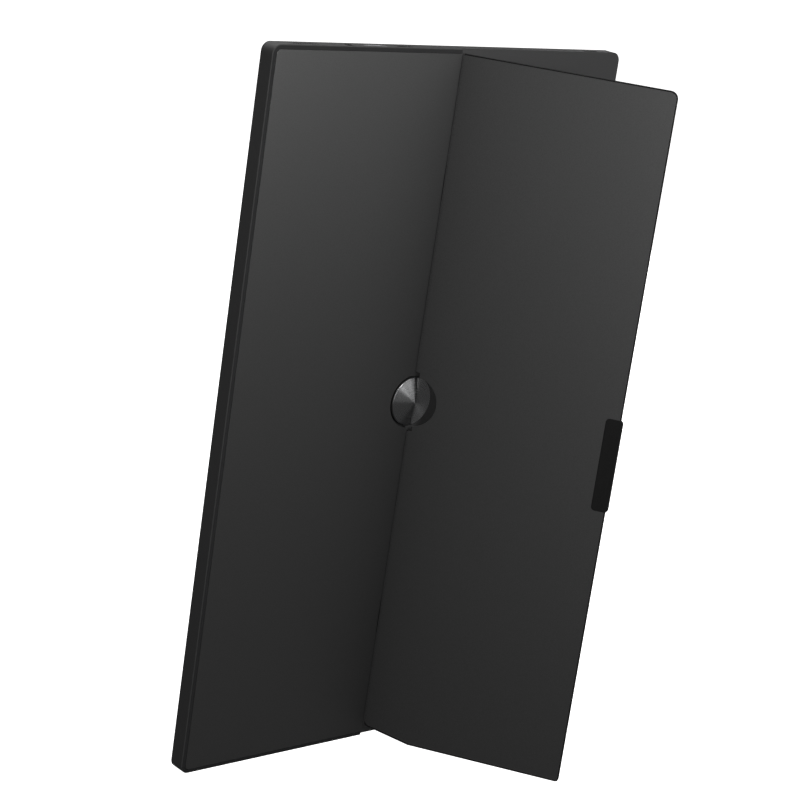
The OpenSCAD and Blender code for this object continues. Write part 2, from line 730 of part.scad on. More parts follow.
module main_board() {
    x0 = board_x0;
    x1 = board_x1;
    chip_at = board_at - 0.01;
    color(board_green) difference() {
        union() {
            plate(board_at, board_at + board_t) round_rect(x0, x1, board_z0, board_z1, 1.5);
            // controller, memory, power stage and the cable connector, on the front side
            plate(chip_at - 1.2, board_at + 0.01)
                translate([x0 + shield_x + 4, board_z0 + shield_z + 4])
                    square([shield_w - 8, shield_w - 8]);
            plate(chip_at - 1, board_at + 0.01) translate([x0 + 12, board_z0 + 38])
                square([8, 11]);
            for (k = [0:2]) plate(chip_at - 1.9, board_at + 0.01)
                translate([x0 + 14 + k * 12, board_z0 + 14]) square([7, 7]);
            for (k = [0:6]) plate(chip_at - 0.9, board_at + 0.01)
                translate([x0 + 12 + k * 6, board_z0 + 26]) square([3, 1.8]);
            plate(chip_at - 1, board_at + 0.01) translate([x0 + 1, cable_z - 7])
                square([4, 14]);
            plate(key_cable_at + cable_t, board_at + 0.01)
                translate([x0 + 2, key_cable_z - 3]) square([6, 6]);
        }
        for (p = board_points) post(p[0], p[1], screw_hole_r, board_at - 1, board_at + 2);
        // notch that lets the headphone jack sit in the board's edge
        plate(board_at - 1, board_at + 2) translate([edge_x - jack_from_edge - 3.3,
            body_h - wall - jack_deep - 0.3]) square([6.6, 2 * jack_deep]);
    }
}

// Folded can over the controller's side of the board, open towards the board
module board_shield() {
    x0 = board_x0 + shield_x;
    x1 = x0 + shield_w;
    z0 = board_z0 + shield_z;
    z1 = z0 + shield_w;
    color(steel) difference() {
        plate(board_at - 2, board_at - seat) round_rect(x0, x1, z0, z1, 1);
        plate(board_at - 1.8, board_at + 1) round_rect(x0 + 0.2, x1 - 0.2, z0 + 0.2, z1 - 0.2, 0.8);
        for (i = [0:2]) for (j = [0:2]) post(x0 + 6 + 5 * i, z0 + 6 + 5 * j, 0.7, board_at - 3,
            board_at - 1);
    }
}

// A stadium along Z, centred on the sockets' depth
module socket_stadium(x, l, w, z0, h) {
    translate([0, 0, z0]) linear_extrude(h) {
        for (s = [-1, 1]) translate([x + s * (l - w) / 2, depth(port_at)])
            circle(w / 2, $fn = 40);
        translate([x - (l - w) / 2, depth(port_at) - w / 2]) square([l - w, w]);
    }
}

module usb_c_socket() {
    x = edge_x - usb_from_edge;
    mouth = body_h - wall + 0.9;
    low = mouth - socket_deep;
    color(steel) {
        difference() {
            socket_stadium(x, usb_l, usb_h, low, socket_deep);
            socket_stadium(x, usb_l - 0.6, usb_h - 0.6, low + 1.2, socket_deep);
        }
        translate([x - 3.35, depth(port_at) - 0.35, low + 1]) cube([6.7, 0.7, socket_deep - 1.6]);
    }
}

module mini_video_socket() {
    x = edge_x - video_from_edge;
    mouth = body_h - wall + 0.9;
    half = video_l / 2;
    low = usb_h / 2;
    shell = [[-half, low], [half, low], [half, -0.3], [half - 1.6, -low], [-half + 1.6, -low],
        [-half, -0.3]];
    hollow = [[-half + 0.35, low - 0.35], [half - 0.35, low - 0.35], [half - 0.35, -0.15],
        [half - 1.75, -low + 0.35], [-half + 1.75, -low + 0.35], [-half + 0.35, -0.15]];
    color(steel) translate([x, depth(port_at), mouth - socket_deep]) {
        difference() {
            linear_extrude(socket_deep) polygon(shell);
            translate([0, 0, 1.2]) linear_extrude(socket_deep) polygon(hollow);
        }
        translate([-4, -0.2, 1]) cube([8, 0.6, socket_deep - 2]);
    }
}

module audio_jack() {
    x = edge_x - jack_from_edge;
    face = body_h - wall - seat;
    color(rubber_black) difference() {
        translate([x - 3.1, depth(port_at) - jack_bore_r - jack_wall, face - jack_deep])
            cube([6.2, 2 * (jack_bore_r + jack_wall), jack_deep]);
        translate([x, depth(port_at), face - jack_deep + 1])
            cylinder(r = jack_bore_r, h = jack_deep, $fn = 48);
    }
}

// Flat speaker box that fires through the short wall
module speaker(low_z) {
    mid = [(speaker_x0 + speaker_x1) / 2, low_z + speaker_l / 2];
    top_at = panel_inner_at - 1.1;
    color(rubber_black) difference() {
        union() {
            plate(chassis_back + 0.1, top_at) round_rect(speaker_x0, speaker_x1, low_z,
                low_z + speaker_l, 2.5);
            post(mid[0], mid[1], speaker_cone_r + 1, top_at - 0.1, top_at + 0.5);
        }
        post(mid[0], mid[1], speaker_cone_r, top_at + 0.2, top_at + 1);
    }
}
module upper_speaker() { speaker(body_h - wall - 0.3 - speaker_l); }
module lower_speaker() { speaker(wall + 0.3); }

// Perforated insert in the short wall, in three staggered rows
module grille(z0) {
    hole_r = 0.45;
    pitch = 1.35;
    cols = floor((grille_l - 1.5) / pitch);
    color(housing_grey) difference() {
        translate([edge_x - grille_from_edge - grille_l / 2, depth(port_at) - grille_w / 2, z0])
            cube([grille_l, grille_w, grille_t]);
        for (row = [-1:1]) for (i = [0:cols - 1 - abs(row)])
            translate([edge_x - grille_from_edge + (i - (cols - 1 - abs(row)) / 2) * pitch,
                depth(port_at) + row * 1.15, z0 - 1]) cylinder(r = hole_r, h = grille_t + 2, $fn = 14);
    }
}
module upper_grille() { grille(body_h - 0.1 - grille_t); }
module lower_grille() { grille(0.1); }

// ---------- power key ----------

key_top = body_h + 0.05;
switch_top = body_h - wall - 3.2;
plunger_r = 0.8;
plunger_out = 0.8;
module power_key() {
    flange = 0.9;
    color(rubber_black) {
        translate([0, 0, body_h - wall - 0.3]) linear_extrude(key_top - body_h + wall + 0.3) {
            for (s = [-1, 1]) translate([key_x + s * (key_l - key_w) / 2, depth(port_at)])
                circle(key_w / 2, $fn = 40);
            translate([key_x - (key_l - key_w) / 2, depth(port_at) - key_w / 2])
                square([key_l - key_w, key_w]);
        }
        translate([key_x - key_l / 2 - 0.8, depth(port_at) - key_w / 2 - 0.3,
            body_h - wall - 0.1 - flange]) cube([key_l + 1.6, key_w + 0.6, flange]);
        translate([key_x, depth(port_at), switch_top + plunger_out])
            cylinder(r = 1, h = body_h - wall - flange - switch_top - plunger_out, $fn = 32);
    }
}

module key_switch() {
    color(steel) difference() {
        translate([key_x - 3, depth(port_at) - 1.1, switch_top - 3.4]) cube([6, 2.2, 3.4]);
        translate([key_x, depth(port_at), switch_top - 0.9 - key_travel])
            cylinder(r = plunger_r + 0.08, h = 3, $fn = 32);
    }
}

module switch_plunger() {
    color("white") translate([key_x, depth(port_at), switch_top - 0.7])
        cylinder(r = plunger_r, h = 0.7 + plunger_out, $fn = 32);
}

// Small board behind the key's switch, with the connector of its cable
key_board_at = port_at + 1.1;
module key_board() {
    color(board_green) {
        plate(key_board_at, floor_at - seat) round_rect(key_x - 7, key_x + 7,
            key_cable_z - 3, switch_top + 1, 1);
        plate(key_cable_at + cable_t, key_board_at + 0.01)
            translate([key_x + 1, key_cable_z - 2.5]) square([5, 5]);
    }
}

// Flat cable from the main board, over the beam and down to the drive board
module display_cable() {
    run_t = beam_back + 0.35;
    x_board = board_x0 + 3;
    x_turn = driver_x1 - driver_w + 5;
    up_t = board_at - 1.01 - cable_t;
    down_t = driver_at + driver_t + 0.05;
    route = [[x_board, up_t], [board_x0 - 4, up_t], [board_x0 - 7, run_t], [x_turn + 2, run_t],
        [x_turn - 1, down_t + 0.1], [x_turn - 4, down_t + 0.1]];
    outline = concat([for (p = route) [p[0], depth(p[1])]],
        [for (i = [len(route) - 1:-1:0]) [route[i][0] + (i == 4 ? 0.15 : 0),
            depth(route[i][1]) + cable_t]]);
    color("orange") translate([0, 0, cable_z - cable_w / 2]) linear_extrude(cable_w) polygon(outline);
}

module key_cable() {
    color("orange") plate(key_cable_at, key_cable_at + cable_t)
        translate([key_x + 1.5, key_cable_z - 2]) square([board_x0 + 7 - key_x - 1.5, 4]);
}

// ---------- flap ----------

// Outline of the closed flap, drawn inwards by e from its outer edge
module flap_outline(e) {
    x0 = free_x + e;
    x1 = hinge_x - e;
    z0 = flap_low_gap + e;
    z1 = body_h - flap_high_gap - e;
    big = max(free_corner_r - e, 0.3);
    small = max(1.7 - e, 0.3);
    turn = 3;
    slope = atan(corner_cut_h / corner_cut_w);
    difference() {
        polygon(concat(arc(x0 + small, z0 + small, small, 180, 270),
            [[x1 - corner_cut_w, z0]],
            arc(x1 - turn, z0 + corner_cut_h + turn * (1 / cos(slope) - tan(slope)), turn,
                270 + slope, 360),
            arc(x1 - 0.6, z1 - 0.6, 0.6, 0, 90, 4),
            arc(x0 + big, z1 - big, big, 90, 180)));
        translate([hinge_x, hub_z]) circle(hub_r + hub_clear + e / 2, $fn = 96);
        translate([hinge_x - hub_notch_w - e, hub_z - hub_r - hub_clear - hub_notch_h - e])
            square([hub_notch_w + 9, 2 * (hub_r + hub_clear + hub_notch_h + e)]);
    }
}

module grip_outline(grow) {
    round_rect(free_x - grip_proud - grow, free_x - grip_proud + grip_w + grow,
        grip_z - grip_h / 2 - grow, grip_z + grip_h / 2 + grow, 1.4 + grow);
}

module flap_liner() {
    color(housing_grey) at_rest_pose() difference() {
        union() {
            plate(flap_under, flap_under + flap_floor_t) flap_outline(0);
            plate(flap_under + 0.3, back_t - 0.1) difference() {
                flap_outline(0);
                flap_outline(flap_rim);
            }
        }
        plate(flap_under - 1, back_t + 1) grip_outline(0.05);
        // pockets of the two hinge leaves, open to the skin where the leaves turn in
        for (z = hinge_zs) {
            plate(flap_under - 1, leaf_plate_at + plate_t + seat)
                translate([leaf_plate_x - leaf_plate_w - 0.1, z - block_w / 2 - 0.1])
                    square([leaf_plate_w + 0.7, block_w + 0.2]);
            plate(flap_under - 1, back_t - flap_skin_t) translate([hinge_x - leaf_out - 0.3,
                z - block_w / 2 - 0.1]) square([leaf_out - leaf_r + 1.1, block_w + 0.2]);
            for (p = leaf_points(z)) post(p[0], p[1], 0.75, flap_under, leaf_screw_end);
        }
    }
}

module flap_skin() {
    color(panel_grey) at_rest_pose() difference() {
        plate(flap_skin_at, back_t) flap_outline(flap_rim + 0.04);
        plate(flap_skin_at - 1, back_t + 1) grip_outline(0.05);
    }
}

module flap_grip() {
    rise = 0.35;
    color(rubber_black) at_rest_pose() rimmed_slab(free_x - grip_proud,
        free_x - grip_proud + grip_w, grip_z - grip_h / 2, grip_z + grip_h / 2, 1.4,
        [[0.5, flap_under + 0.02], [0, flap_under + 0.5], [0, back_t + rise - 0.4],
        [0.4, back_t + rise]]);
}

// ---------- fasteners ----------

module chassis_screws() {
    seat_at = chassis_at + head_t - 0.01;
    color(steel) for (p = chassis_points)
        front_screw(p[0], p[1], seat_at, boss_hole_end - 0.2 - seat_at);
}

module board_screws() {
    color(steel) for (p = board_points) back_screw(p[0], p[1], board_at + board_t + 0.01, 2.5);
}

module hinge_screws() {
    color(steel) for (p = hinge_points) front_screw(p[0], p[1], beam_at - 0.01, 1.7);
}

module flap_screws() {
    color(steel) at_rest_pose() for (z = hinge_zs) for (p = leaf_points(z)) {
        post(p[0], p[1], 0.75, leaf_plate_at, leaf_screw_end);
    }
}

front_bezel();
lcd_cell();
film_stack();
light_guide();
reflector_sheet();
led_bar();
panel_tray();
driver_board();
driver_flexes();
chassis_plate();
rear_housing();
fixed_panel();
panel_plate();
hinge_beam();
upper_hinge_block();
upper_hinge_core();
upper_friction_strip();
upper_hinge_leaf();
lower_hinge_block();
lower_hinge_core();
lower_friction_strip();
lower_hinge_leaf();
main_board();
board_shield();
usb_c_socket();
mini_video_socket();
audio_jack();
upper_speaker();
lower_speaker();
upper_grille();
lower_grille();
power_key();
key_board();
key_switch();
switch_plunger();
display_cable();
key_cable();
hub_seat();
hub_cap();
hub_screw();
flap_liner();
flap_skin();
flap_grip();
chassis_screws();
board_screws();
hinge_screws();
flap_screws();
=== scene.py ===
"""Slim portable monitor that stands on its half-width back flap: parts, finishes, light, camera."""
import json
import math

import bmesh
import bpy
from mathutils import Matrix, Vector

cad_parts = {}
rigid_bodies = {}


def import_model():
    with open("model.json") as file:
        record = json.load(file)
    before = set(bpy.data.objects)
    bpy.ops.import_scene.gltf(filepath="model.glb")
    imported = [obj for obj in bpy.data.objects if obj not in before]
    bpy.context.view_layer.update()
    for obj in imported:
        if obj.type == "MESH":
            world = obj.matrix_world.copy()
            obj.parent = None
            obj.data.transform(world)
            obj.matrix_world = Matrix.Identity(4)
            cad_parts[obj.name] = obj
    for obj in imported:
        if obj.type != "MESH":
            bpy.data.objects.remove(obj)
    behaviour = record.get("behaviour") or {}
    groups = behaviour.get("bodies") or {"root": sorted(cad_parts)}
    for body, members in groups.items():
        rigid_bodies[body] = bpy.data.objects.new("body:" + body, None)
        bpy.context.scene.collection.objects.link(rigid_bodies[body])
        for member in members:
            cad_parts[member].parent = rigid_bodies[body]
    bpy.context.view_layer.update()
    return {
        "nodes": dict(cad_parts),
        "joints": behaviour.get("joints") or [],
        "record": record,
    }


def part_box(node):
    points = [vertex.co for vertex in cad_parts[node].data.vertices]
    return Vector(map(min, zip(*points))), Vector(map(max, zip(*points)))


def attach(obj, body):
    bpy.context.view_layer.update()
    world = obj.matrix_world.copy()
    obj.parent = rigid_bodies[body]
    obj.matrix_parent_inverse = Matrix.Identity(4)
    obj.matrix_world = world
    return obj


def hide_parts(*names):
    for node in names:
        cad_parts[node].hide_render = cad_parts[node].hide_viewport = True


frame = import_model()

MM = 0.001
TINY = 0.001 * MM
X_AXIS, Y_AXIS = Vector((1, 0, 0)), Vector((0, 1, 0))


# ---------- measures read from the construction ----------

FLAP_JOINT = next(j for j in frame["joints"] if j["name"] == "flap_hinge")
HINGE = Vector(FLAP_JOINT["pos_m"])
OPEN_ANGLE = -math.radians(FLAP_JOINT["range_deg"][0])
SLAB_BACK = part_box("rear_housing")[1].y
PANEL_LOW, PANEL_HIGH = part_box("fixed_panel")
HUB_LOW, HUB_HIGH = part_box("hub_cap")
HUB_AXIS = Vector(((HUB_LOW.x + HUB_HIGH.x) / 2, 0, (HUB_LOW.z + HUB_HIGH.z) / 2))
HUB_R = (HUB_HIGH.x - HUB_LOW.x) / 2
BACK = HINGE.y
END_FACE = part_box("rear_housing")[1].z
PORTS = {m["name"]: Vector(m["pos_m"]) for m in frame["record"]["mounts"]}

# ---------- sizes of the finer forms ----------

CUT_PAST = 1 * MM  # how far a cutter reaches past the surface that it opens
TOP_BAND = 0.1 * MM  # edges this near to a piece's top are its top edges
ROUND_STEPS = 128  # sides of the large circles

# Thick half: the end beside the joint, the rim as steps of (inset, rise), and its metal plate
JOINT_WIDTH = 0.48 * MM
PANEL_LOW.x = HINGE.x + JOINT_WIDTH  # finer here than in the construction
PANEL_CORNER_R = 4.15 * MM
PANEL_SKIRT = 0.35 * MM
PANEL_EDGE = (0.35 * MM, 0.3 * MM)
PANEL_BAND = (1.55 * MM, 0.25 * MM)
PANEL_WALL = 1 * MM
PANEL_SKIN = 0.8 * MM
PANEL_PAST_JOINT = 30 * MM
NEARLY_BACK = 0.9  # a face whose normal has this much of Y faces the back
PLATE_DEEP = 0.35 * MM
PLATE_EDGE = 0.1 * MM
PLATE_FIT = 0.05 * MM
PLATE_GROOVE = 0.2 * MM
PLATE_SOFT = 0.1 * MM

# Hub's clearances: round cuts in both plates, and a notch in the flap's, as (width, half height)
HUB_PANEL_CUT = 13.65 * MM
HUB_FLAP_CUT = 12.95 * MM
HUB_NOTCH = (1.7 * MM, 15.3 * MM)
HUB_NOTCH_PAST = 5 * MM

# Flap: its sloping lower corner as (width, height), the radii of its corners, and its grip
FLAP_CORNER_CUT = (25 * MM, 5.2 * MM)
FLAP_CORNER_R = {"foot": 1.1 * MM, "head": 3.3 * MM, "hinge_foot": 2.4 * MM,
                 "hinge_head": 0.4 * MM}
FLAP_SOFT = 0.12 * MM
MOSTLY = 0.5  # a face whose normal has this much of a direction faces that way
GRIP_CORNER_R = 1.9 * MM
GRIP_SOFT = 0.35 * MM

# Hub: a foot under the back, a straight side, a shoulder and a curve to the tip; the shoulder's
# points are given in degrees, and the curve's as shares of the way in
DOME_FOOT = 0.45 * MM
DOME_LAND = 0.8 * MM
DOME_SIDE = 0.1 * MM
DOME_SHOULDER = 0.35 * MM
DOME_CURVE = 1.25
DOME_SHOULDER_AT = (25, 50, 75)
DOME_CURVE_AT = (0, 0.08, 0.16, 0.26, 0.38, 0.5, 0.62, 0.74, 0.86, 0.96, 1)

# Screen: the visible area, and how it lies on the cell
SCREEN_AREA = (193.6 * MM, 344.2 * MM)
SCREEN_CORNER_R = 0.6 * MM
SCREEN_PROUD = 0.01 * MM
SCREEN_THICK = 0.05 * MM

# Sockets: openings in the wall and mouths of the shells, as (length, width)
PORT_CLEAR = 0.04 * MM
PORT_BELOW = 0.05 * MM
PORT_SOFT = 0.12 * MM
COLLAR_DEEP = 0.2 * MM
NEARLY_ROUND = 0.98  # a round end's radius, as a share of the half width
USB_OPENING, USB_MOUTH = (10.94 * MM, 3.56 * MM), (8.34 * MM, 2.56 * MM)
VIDEO_OPENING, VIDEO_MOUTH = (14.2 * MM, 3.56 * MM), (10.5 * MM, 2.46 * MM)
VIDEO_CHAMFER = 1.15 * MM

# Tongues in the sockets, slightly larger than the construction's, and the contacts on them
TONGUE_SKIN = 0.02 * MM
TONGUE_ROOT = 6 * MM
CONTACT_SKIN = 0.02 * MM
CONTACT_SHORT = 0.35 * MM
CONTACT_SHARE = 0.28
USB_TONGUE = {"wide": 6.7 * MM, "low": -0.35 * MM, "high": 0.35 * MM, "tip": 0.6 * MM,
              "pins": 12, "pitch": 0.5 * MM}
VIDEO_TONGUE = {"wide": 8.0 * MM, "low": -0.2 * MM, "high": 0.4 * MM, "tip": 1.0 * MM,
                "pins": 10, "pitch": 0.74 * MM}

# Headphone jack's collar in section, as (radius, height over the end wall) in millimetres
JACK_COLLAR = ((1.85, -1.2), (1.85, -0.18), (2.05, 0.03), (2.63, 0.05), (2.75, 0.01),
               (2.75, -0.03), (1.97, -0.03), (1.97, -1.2))

# Painted shade on the metal plates along the joint: darker near the hinge line, standing in for the
# shade in the valley between panel and flap
JOINT_SHADE_REACH = 15 * MM
JOINT_SHADE_DEPTH = 0.2


def turn_flap(angle):
    """Turns about the hinge line: minus the opening takes a closed flap piece to the rest pose."""
    return Matrix.Translation(HINGE) @ Matrix.Rotation(angle, 4, "Z") @ Matrix.Translation(-HINGE)


def closed_box(node):
    """Lowest and highest corner of a flap node, with the flap turned shut."""
    turned = [turn_flap(OPEN_ANGLE) @ v.co for v in frame["nodes"][node].data.vertices]
    low = Vector(tuple(min(p[i] for p in turned) for i in range(3)))
    high = Vector(tuple(max(p[i] for p in turned) for i in range(3)))
    return low, high


# ---------- building with meshes ----------

def new_piece(name, bm, body, slot, replaces=(), smooth_below=40, finish=None,
              even_normals=True):
    """Makes the finished piece from a mesh in work and lets it ride on its body.

    Its finish is its slot's own, or a named one that stands in for it."""
    bmesh.ops.recalc_face_normals(bm, faces=bm.faces)
    mesh = bpy.data.meshes.new(name)
    bm.to_mesh(mesh)
    bm.free()
    mesh.shade_smooth()
    mesh.set_sharp_from_angle(angle=math.radians(smooth_below))
    piece = bpy.data.objects.new(name, mesh)
    bpy.context.scene.collection.objects.link(piece)
    mesh.materials.append(FINISHES[finish or slot])
    if even_normals:
        even = piece.modifiers.new("even_normals", "WEIGHTED_NORMAL")
        even.weight = 100
        even.keep_sharp = True
    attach(piece, body)
    if replaces:
        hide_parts(*replaces)
    return piece


def sheet_face(bm, corners, depth):
    """Adds a flat face across Y from its (x, z) corners."""
    bm.faces.new([bm.verts.new((x, depth, z)) for x, z in corners])


def round_corner(bm, corner, depth, radius, segments=10):
    """Rounds the corner of a flat face that stands at (x, z)."""
    place = Vector((corner[0], depth, corner[1]))
    vert = min(bm.verts, key=lambda v: (v.co - place).length)
    bmesh.ops.bevel(bm, geom=[vert], offset=radius, offset_type="OFFSET", segments=segments,
                    profile=0.5, affect="VERTICES", material=-1, clamp_overlap=True)


def extrude(bm, faces, height):
    """Extrudes flat faces along Y by a height; returns the faces at the far end."""
    made = bmesh.ops.extrude_face_region(bm, geom=faces)["geom"]
    bmesh.ops.translate(bm, verts=[g for g in made if isinstance(g, bmesh.types.BMVert)],
                        vec=(0, height, 0))
    return [g for g in made if isinstance(g, bmesh.types.BMFace)]


def draw_in(bm, face, inset, height=0):
    """Draws the face in by an inset and lifts it by a height."""
    bmesh.ops.inset_region(bm, faces=[face], thickness=inset, use_even_offset=True)
    bmesh.ops.translate(bm, verts=face.verts[:], vec=(0, height, 0))


def edges_along(bm, axis):
    """The edges of a block that run along an axis, given as 0, 1 or 2."""
    return [e for e in bm.edges if abs(e.verts[0].co[axis] - e.verts[1].co[axis]) > TINY]


def above(axis, level):
    """A choice of the edges that lie above a level on an axis."""
    return lambda edge: all(v.co[axis] > level for v in edge.verts)


def soften_edges(bm, radius, segments=2, over=40, keep=lambda edge: True):
    """Bevels the edges that turn more than an angle."""
    sharp = [e for e in bm.edges if len(e.link_faces) == 2
             and e.calc_face_angle(0) > math.radians(over) and keep(e)]
    bmesh.ops.bevel(bm, geom=sharp, offset=radius, offset_type="OFFSET", segments=segments,
                    profile=0.5, affect="EDGES", material=-1, clamp_overlap=True)


def cut_away(bm, cutters):
    """Takes the cutters' shapes out of the mesh in work."""
    host_mesh = bpy.data.meshes.new("host")
    bmesh.ops.recalc_face_normals(bm, faces=bm.faces)
    bm.to_mesh(host_mesh)
    host = bpy.data.objects.new("host", host_mesh)
    bpy.context.scene.collection.objects.link(host)
    for number, cutter_bm in enumerate(cutters):
        bmesh.ops.recalc_face_normals(cutter_bm, faces=cutter_bm.faces)
        cutter_mesh = bpy.data.meshes.new("cutter")
        cutter_bm.to_mesh(cutter_mesh)
        cutter_bm.free()
        cutter = bpy.data.objects.new("cutter", cutter_mesh)
        bpy.context.scene.collection.objects.link(cutter)
        cut = host.modifiers.new(f"cut_{number}", "BOOLEAN")
        cut.operation = "DIFFERENCE"
        cut.solver = "EXACT"
        cut.object = cutter
    worked_out = host.evaluated_get(bpy.context.evaluated_depsgraph_get())
    cut_mesh = bpy.data.meshes.new_from_object(worked_out)
    bm.clear()
    bm.from_mesh(cut_mesh)
    for spare in [o for o in bpy.context.scene.objects if o.name.startswith(("host", "cutter"))]:
        bpy.data.objects.remove(spare)


def drum(centre, radius, low, high):
    """A closed cylinder along Y between two depths."""
    bm = bmesh.new()
    bmesh.ops.create_cone(bm, cap_ends=True, segments=ROUND_STEPS, radius1=radius,
                          radius2=radius, depth=high - low)
    bmesh.ops.rotate(bm, verts=bm.verts, matrix=Matrix.Rotation(math.radians(90), 3, "X"))
    bmesh.ops.translate(bm, verts=bm.verts, vec=(centre.x, (low + high) / 2, centre.z))
    return bm


def block(bm, low, high):
    """Adds a closed box between two corners."""
    made = bmesh.ops.create_cube(bm, size=1)["verts"]
    low, high = Vector(low), Vector(high)
    bmesh.ops.scale(bm, verts=made, vec=high - low)
    bmesh.ops.translate(bm, verts=made, vec=(low + high) / 2)


def turned_profile(bm, points, axis_at, steps):
    """Spins a profile of (radius, depth) points about an axis along Y."""
    verts = [bm.verts.new((axis_at.x + radius, depth, axis_at.z)) for radius, depth in points]
    edges = [bm.edges.new(pair) for pair in zip(verts, verts[1:])]
    bmesh.ops.spin(bm, geom=verts + edges, cent=(axis_at.x, 0, axis_at.z), axis=Y_AXIS,
                   dvec=(0, 0, 0), angle=math.tau, steps=steps, use_merge=True)
    bmesh.ops.remove_doubles(bm, verts=bm.verts, dist=10 * TINY)


def swing(bm):
    """Turns a flap piece, built shut, to the rest pose."""
    bmesh.ops.transform(bm, matrix=turn_flap(-OPEN_ANGLE), verts=bm.verts)


# ---------- shared effects ----------

def effect(name, inputs, outputs=("Tone", "Rough", "Height")):
    """An empty node group with named values going in and coming out."""
    group = bpy.data.node_groups.new(name, "ShaderNodeTree")
    for title, start in inputs.items():
        kind = "NodeSocketVector" if start is None else "NodeSocketFloat"
        socket = group.interface.new_socket(title, in_out="INPUT", socket_type=kind)
        if start is not None:
            socket.default_value = start
    for title in outputs:
        group.interface.new_socket(title, in_out="OUTPUT", socket_type="NodeSocketFloat")
    return group, group.nodes.new("NodeGroupInput"), group.nodes.new("NodeGroupOutput")


def put(tree, kind, settings=None, **sockets):
    """Adds a node; sockets are given by name, as a value or as another node's output."""
    node = tree.nodes.new(kind)
    for attribute, value in (settings or {}).items():
        setattr(node, attribute, value)
    for title, value in sockets.items():
        wanted = title.replace("_", " ")
        socket = next(s for s in node.inputs if s.name == wanted and s.enabled)
        if isinstance(value, bpy.types.NodeSocket):
            tree.links.new(value, socket)
        else:
            socket.default_value = value
    return node


def calc(tree, operation, *values):
    """A math node on up to three values or outputs; returns its output."""
    node = tree.nodes.new("ShaderNodeMath")
    node.operation = operation
    for socket, value in zip(node.inputs, values):
        if isinstance(value, bpy.types.NodeSocket):
            tree.links.new(value, socket)
        else:
            socket.default_value = value
    return node.outputs[0]


def about_zero(tree, noise, amount):
    """A noise from 0 to 1, moved about zero and scaled by an amount."""
    return calc(tree, "MULTIPLY", calc(tree, "SUBTRACT", noise, 0.5), amount)


def give(group, result, tone, rough, height):
    """Hands out what a surface effect has worked out: two factors near 1, and a height."""
    group.links.new(tone, result.inputs["Tone"])
    group.links.new(rough, result.inputs["Rough"])
    group.links.new(height, result.inputs["Height"])
    return group


def give_one_change(group, result, change, height):
    """Hands out one change about zero as a lighter tone and a smoother surface at once."""
    return give(group, result, calc(group, "ADD", change, 1.0),
                calc(group, "SUBTRACT", 1.0, change), height)


def make_satin_grain():
    """Blasted and anodised metal: a fine speckle over slow clouds."""
    group, given, result = effect("satin_grain", {"Place": None, "Speckle": 0.5, "Clouds": 0.5})
    fine = put(group, "ShaderNodeTexNoise", Vector=given.outputs["Place"], Scale=2100.0, Detail=3.0,
               Roughness=0.65)
    slow = put(group, "ShaderNodeTexNoise", Vector=given.outputs["Place"], Scale=9.0, Detail=3.0,
               Roughness=0.5)
    speckle = about_zero(group, fine.outputs["Fac"], given.outputs["Speckle"])
    cloud = about_zero(group, slow.outputs["Fac"], given.outputs["Clouds"])
    tone = calc(group, "ADD", calc(group, "ADD", speckle, cloud), 1.0)
    rough = calc(group, "SUBTRACT", 1.0, calc(group, "MULTIPLY", cloud, 0.8))
    return give(group, result, tone, rough, fine.outputs["Fac"])


def make_moulded_skin():
    """Moulded plastic or rubber: a spark-eroded texture of small pits with faint handling marks."""
    group, given, result = effect("moulded_skin", {"Place": None, "Size": 1500.0, "Marks": 0.3})
    pits = put(group, "ShaderNodeTexVoronoi", Vector=given.outputs["Place"],
               Scale=given.outputs["Size"])
    marks = put(group, "ShaderNodeTexNoise", Vector=given.outputs["Place"], Scale=28.0, Detail=4.0,
                Roughness=0.6)
    drift = about_zero(group, marks.outputs["Fac"], given.outputs["Marks"])
    return give_one_change(group, result, drift, pits.outputs["Distance"])


def make_turned_rings():
    """Metal turned on a lathe: tool rings about the Y axis through the place's origin."""
    group, given, result = effect("turned_rings", {"Place": None, "Rings": 9000.0, "Depth": 0.3})
    parts = put(group, "ShaderNodeSeparateXYZ", Vector=given.outputs["Place"])
    across = calc(group, "SQRT", calc(group, "ADD",
                                      calc(group, "POWER", parts.outputs["X"], 2.0),
                                      calc(group, "POWER", parts.outputs["Z"], 2.0)))
    rings = put(group, "ShaderNodeTexNoise", {"noise_dimensions": "1D"},
                W=calc(group, "MULTIPLY", across, given.outputs["Rings"]), Scale=1.0, Detail=2.0)
    change = about_zero(group, rings.outputs["Fac"], given.outputs["Depth"])
    return give_one_change(group, result, change, rings.outputs["Fac"])


def make_drawn_lines():
    """Rolled or drawn metal: long scratches along Z."""
    group, given, result = effect("drawn_lines",
                                  {"Place": None, "Fineness": 4000.0, "Depth": 0.3})
    squeeze = put(group, "ShaderNodeMapping", Vector=given.outputs["Place"], Scale=(1, 1, 0.02))
    lines = put(group, "ShaderNodeTexNoise", Vector=squeeze.outputs["Vector"],
                Scale=given.outputs["Fineness"], Detail=2.0)
    change = about_zero(group, lines.outputs["Fac"], given.outputs["Depth"])
    return give_one_change(group, result, change, lines.outputs["Fac"])


def make_painted_joint_shade():
    """Painted shade along a joint: a darkening that fades with the distance from a line along Z,
    standing in for the shade in the valley between the panel and the open flap.
    """
    group, given, result = effect("painted_joint_shade", {"Place": None, "Reach": JOINT_SHADE_REACH,
                                                 "Depth": JOINT_SHADE_DEPTH}, ("Tone",))
    parts = put(group, "ShaderNodeSeparateXYZ", Vector=given.outputs["Place"])
    squares = [calc(group, "POWER", calc(group, "ABSOLUTE", parts.outputs[axis]), 2.0)
               for axis in ("X", "Y")]
    away = calc(group, "SQRT", calc(group, "ADD", *squares))
    reaches = calc(group, "DIVIDE", away, given.outputs["Reach"])
    fade = calc(group, "EXPONENT", calc(group, "MULTIPLY", reaches, -1.0))
    darkening = calc(group, "MULTIPLY", fade, given.outputs["Depth"])
    group.links.new(calc(group, "SUBTRACT", 1.0, darkening), result.inputs["Tone"])
    return group


